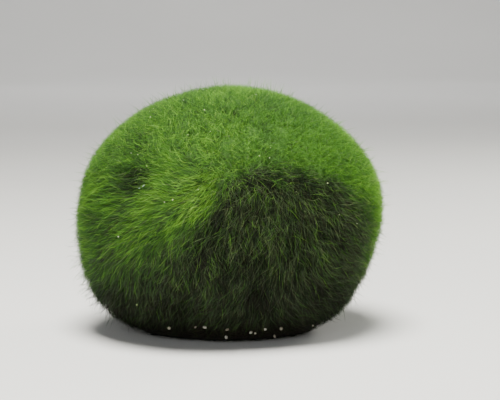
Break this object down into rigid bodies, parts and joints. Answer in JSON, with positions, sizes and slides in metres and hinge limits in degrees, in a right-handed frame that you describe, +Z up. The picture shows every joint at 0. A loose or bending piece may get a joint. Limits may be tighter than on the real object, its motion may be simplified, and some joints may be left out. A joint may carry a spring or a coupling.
{
  "type": "marimo moss ball",
  "caption": "Loose, living ball of soft green thread algae, slightly squashed and lumpy, resting on a small flat spot of its own.",
  "frame": {"origin": "middle of the ball's resting foot, at the height of the surface it stands on", "axes": "+Z up, +X towards the ball's right as seen from its front, -Y towards its front, the side with the dark hollow under the brow"},
  "size_m": [0.08, 0.076, 0.0635],
  "materials": {
    "moss": "matt, soft, living thread algae: bright yellow-green on top, dark olive to brown-black in the hollows and underneath"
  },
  "bodies": {
    "root": {"moss_ball": "moss"}
  },
  "joints": []
}
